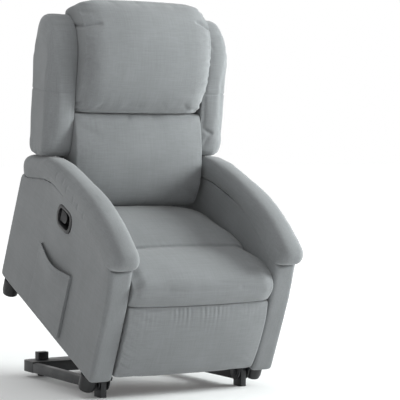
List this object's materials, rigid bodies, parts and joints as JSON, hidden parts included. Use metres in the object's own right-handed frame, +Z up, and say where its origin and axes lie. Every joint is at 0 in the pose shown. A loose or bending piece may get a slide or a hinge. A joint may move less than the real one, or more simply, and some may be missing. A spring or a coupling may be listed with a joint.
{
  "type": "lift recliner chair",
  "caption": "Upholstered lift recliner with winged back, tilting lift base with linear actuator, reclining back, swinging footrest, release lever and side pocket; shown raised.",
  "frame": {"origin": "centre of the bounding box, on the floor under the raised chair", "axes": "+X towards the sitter's left, +Y to the rear, +Z up"},
  "size_m": [0.727, 0.896, 1.323],
  "materials": {
    "upholstery": "matte",
    "frame_steel": "satin",
    "black_plastic": "satin",
    "aluminium": "satin",
    "zinc_steel": "satin",
    "timber": "matte",
    "rubber": "matte"
  },
  "bodies": {
    "base": {"base_side_right": "frame_steel", "base_side_left": "frame_steel", "lift_pin_right": "zinc_steel", "lift_pin_left": "zinc_steel", "base_glide_right": "rubber", "base_glide_left": "rubber", "base_rear_crossmember": "frame_steel", "actuator_base_pin": "zinc_steel"},
    "chair": {"underframe_channel_right": "frame_steel", "underframe_channel_left": "frame_steel", "underframe_rear_tube": "frame_steel", "underframe_front_tube": "frame_steel", "actuator_cross_tube": "frame_steel", "front_foot_right": "black_plastic", "front_foot_left": "black_plastic", "rear_foot_right": "black_plastic", "rear_foot_left": "black_plastic", "mechanism_plate_right": "frame_steel", "mechanism_plate_left": "frame_steel", "seat_rail_front": "timber", "seat_rail_rear": "timber", "seat_rail_right": "timber", "seat_rail_left": "timber", "seat_springs": "zinc_steel", "seat_cushion": "upholstery", "arm_body_right": "upholstery", "arm_body_left": "upholstery", "arm_pad_right": "upholstery", "arm_pad_left": "upholstery", "handle_bezel": "black_plastic", "side_pocket": "upholstery", "rear_panel": "upholstery"},
    "actuator_body": {"actuator_housing": "black_plastic", "actuator_motor": "frame_steel", "actuator_tube": "aluminium"},
    "actuator_rod": {"actuator_rod": "aluminium", "rod_end_pin": "zinc_steel"},
    "backrest": {"back_stile_right": "timber", "back_stile_left": "timber", "back_rail_top": "timber", "back_rail_bottom": "timber", "back_cover": "upholstery", "back_lower_cushion": "upholstery", "head_cushion": "upholstery", "back_wing_right": "upholstery", "back_wing_left": "upholstery"},
    "release_lever": {"release_lever": "black_plastic"},
    "footrest_rear_links": {"footrest_rear_link_right": "frame_steel", "footrest_rear_link_left": "frame_steel"},
    "footrest_rear_controls": {"footrest_rear_control_right": "frame_steel", "footrest_rear_control_left": "frame_steel"},
    "footrest_front_links": {"footrest_front_link_right": "frame_steel", "footrest_front_link_left": "frame_steel"},
    "footrest_front_controls": {"footrest_front_control_right": "frame_steel", "footrest_front_control_left": "frame_steel"},
    "footrest": {"footrest_bracket_right": "frame_steel", "footrest_bracket_left": "frame_steel", "footrest_board": "timber", "footrest_cushion": "upholstery"}
  },
  "joints": [
    {"name": "lift", "type": "hinge", "parent": "base", "child": "chair", "pos_m": [0, -0.16796, 0.05], "axis": [1, 0, 0], "range_deg": [-24.2, 0]},
    {"name": "actuator_swing", "type": "hinge", "parent": "base", "child": "actuator_body", "pos_m": [0, 0.33654, 0.086], "axis": [1, 0, 0], "range_deg": [-1, 0]},
    {"name": "actuator_stroke", "type": "slide", "parent": "actuator_body", "child": "actuator_rod", "axis": [0, -0.819, 0.5737], "range_m": [-0.138, 0]},
    {"name": "recline", "type": "hinge", "parent": "chair", "child": "backrest", "pos_m": [0, 0.26383, 0.63561], "axis": [-1, 0, 0], "range_deg": [0, 35]},
    {"name": "release", "type": "hinge", "parent": "chair", "child": "release_lever", "pos_m": [-0.347, -0.0399, 0.59669], "axis": [0, 0.4099, -0.9121], "range_deg": [0, 30], "stiffness_Nm_per_rad": 0.4, "springref_deg": -17.19},
    {"name": "footrest_rear_link", "type": "hinge", "parent": "chair", "child": "footrest_rear_links", "pos_m": [0, -0.24378, 0.27702], "axis": [-1, 0, 0], "range_deg": [0, 90]},
    {"name": "footrest_rear_control", "type": "hinge", "parent": "chair", "child": "footrest_rear_controls", "pos_m": [0, -0.20921, 0.28249], "axis": [-1, 0, 0], "range_deg": [0, 90]},
    {"name": "footrest_front_link", "type": "hinge", "parent": "footrest_rear_links", "child": "footrest_front_links", "pos_m": [0, -0.10599, 0.17778], "axis": [-1, 0, 0], "range_deg": [-90, 0]},
    {"name": "footrest_front_control", "type": "hinge", "parent": "footrest_rear_links", "child": "footrest_front_controls", "pos_m": [0, -0.09425, 0.14587], "axis": [-1, 0, 0], "range_deg": [-90, 0]},
    {"name": "footrest_panel", "type": "hinge", "parent": "footrest_front_links", "child": "footrest", "pos_m": [0, -0.26408, 0.25145], "axis": [-1, 0, 0], "range_deg": [0, 90]}
  ],
  "couplings": [
    {"joint": "actuator_swing", "follows": "lift", "ratio": 0.026696},
    {"joint": "actuator_stroke", "follows": "lift", "m_per_rad": 0.32561},
    {"joint": "footrest_rear_control", "follows": "footrest_rear_link", "ratio": 1},
    {"joint": "footrest_front_link", "follows": "footrest_rear_link", "ratio": -1},
    {"joint": "footrest_front_control", "follows": "footrest_rear_link", "ratio": -1},
    {"joint": "footrest_panel", "follows": "footrest_rear_link", "ratio": 1}
  ]
}
